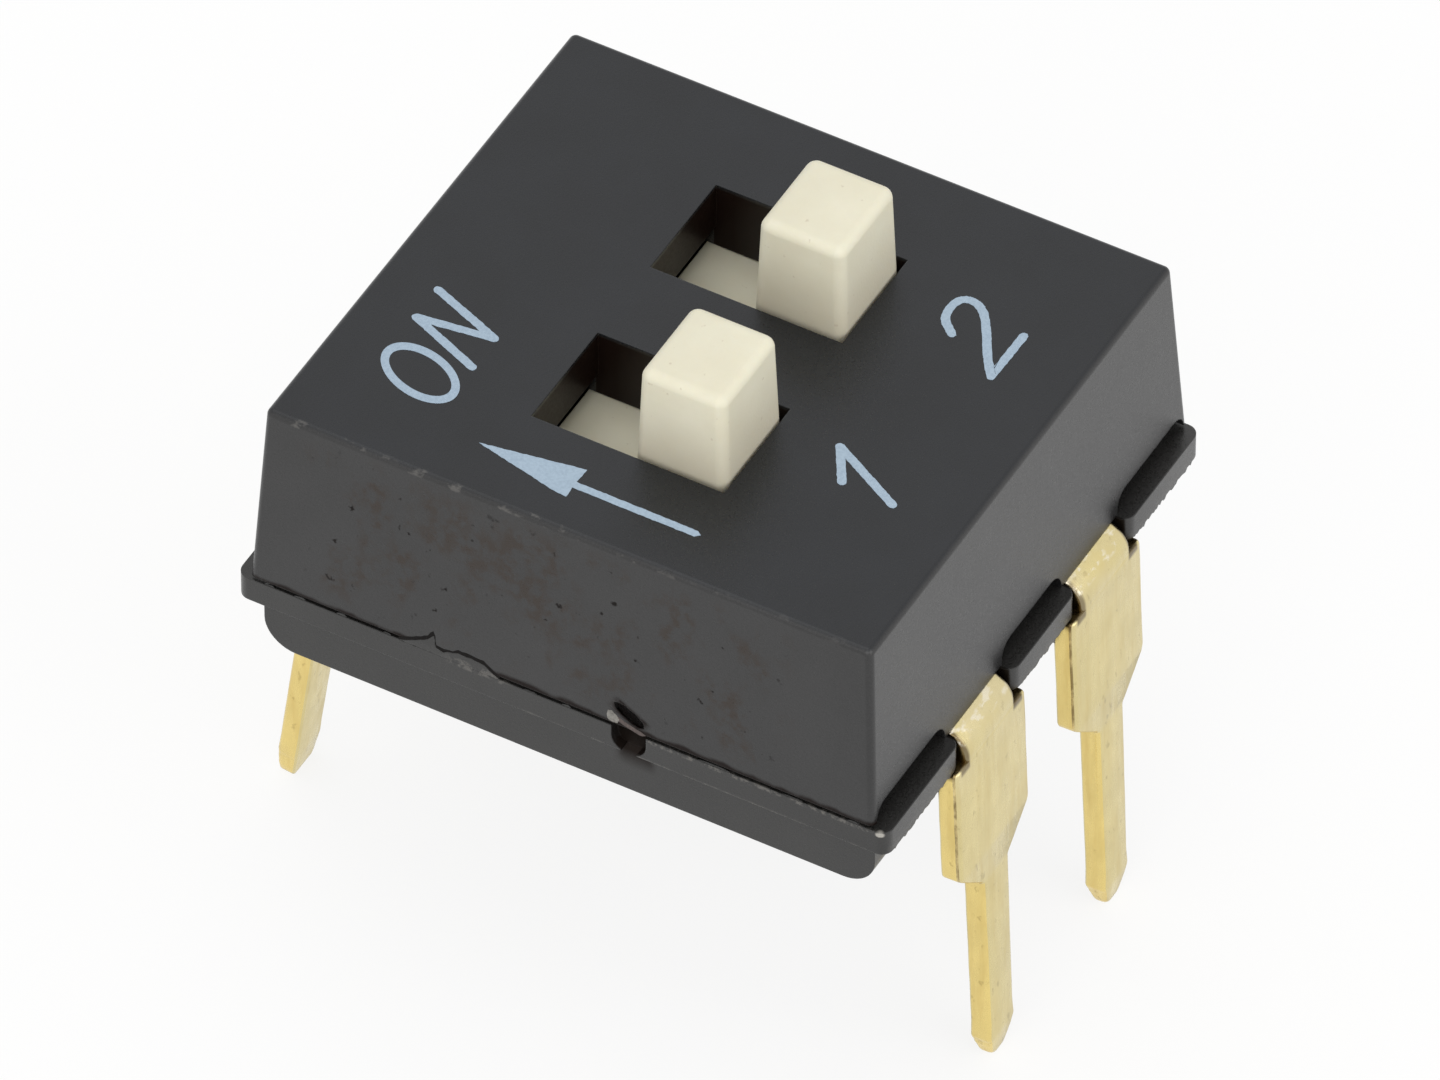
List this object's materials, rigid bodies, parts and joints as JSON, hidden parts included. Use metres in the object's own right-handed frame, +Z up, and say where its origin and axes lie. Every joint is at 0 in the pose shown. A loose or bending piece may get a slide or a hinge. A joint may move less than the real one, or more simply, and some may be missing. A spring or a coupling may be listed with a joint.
{
  "type": "dip switch",
  "caption": "Slide DIP switch for through-hole boards: black moulded body, cream raised slide actuators in open windows, gilt flat pins in two rows.",
  "frame": {"origin": "centre of the four-pin pattern, on the board surface that the pin shoulders stand on", "axes": "+X along the pin rows from position 1 to position 2, +Y from the numbered side to the ON side, +Z up, out of the board"},
  "size_m": [0.0068, 0.0089, 0.0087],
  "materials": {
    "cover_plastic": "matt black, moulded",
    "base_plastic": "satin black, moulded",
    "actuator_plastic": "cream, satin",
    "contact_metal": "gold plated strip",
    "terminal_metal": "gold plated strip"
  },
  "bodies": {
    "housing": {"cover": "cover_plastic", "base": "base_plastic", "terminal_off_1": "terminal_metal", "terminal_off_2": "terminal_metal", "terminal_on_1": "terminal_metal", "terminal_on_2": "terminal_metal"},
    "slider_1": {"actuator_1": "actuator_plastic", "contact_1": "contact_metal"},
    "slider_2": {"actuator_2": "actuator_plastic", "contact_2": "contact_metal"}
  },
  "joints": [
    {"name": "slide_1", "type": "slide", "parent": "housing", "child": "slider_1", "axis": [0, 1, 0], "range_m": [0, 0.00115]},
    {"name": "slide_2", "type": "slide", "parent": "housing", "child": "slider_2", "axis": [0, 1, 0], "range_m": [0, 0.00115]}
  ]
}
